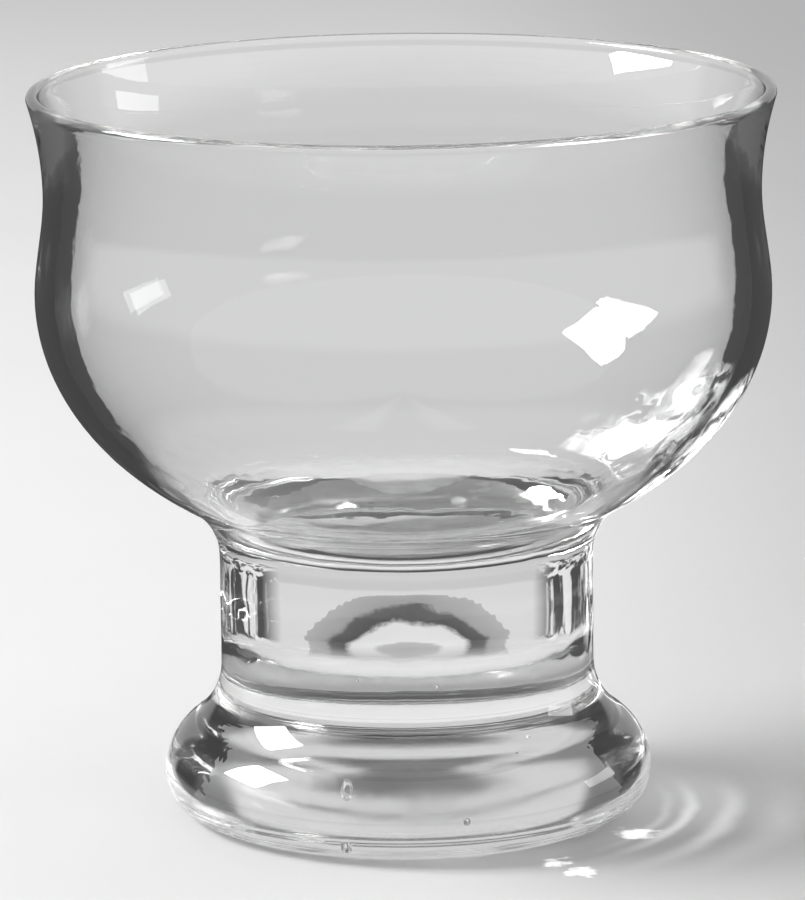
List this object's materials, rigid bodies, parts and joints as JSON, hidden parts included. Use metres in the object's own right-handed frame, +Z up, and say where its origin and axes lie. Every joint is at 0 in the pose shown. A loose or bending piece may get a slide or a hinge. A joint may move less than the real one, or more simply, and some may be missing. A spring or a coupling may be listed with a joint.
{
  "type": "sherbet glass",
  "caption": "Low clear sherbet glass: round bowl with a drawn-in waist and flared lip, on a short solid stem and a heavy rounded foot.",
  "frame": {"origin": "centre of the foot's underside, on the plane that the glass stands on", "axes": "+Z up along the axis of revolution; the glass is round, so +X and +Y are any two square directions"},
  "size_m": [0.1, 0.1, 0.0989],
  "materials": {
    "foot_glass": "clear, fire-polished, with a few seed bubbles",
    "stem_glass": "clear, fire-polished",
    "bowl_glass": "clear, fire-polished"
  },
  "bodies": {
    "root": {"foot": "foot_glass", "stem": "stem_glass", "bowl": "bowl_glass"}
  },
  "joints": []
}
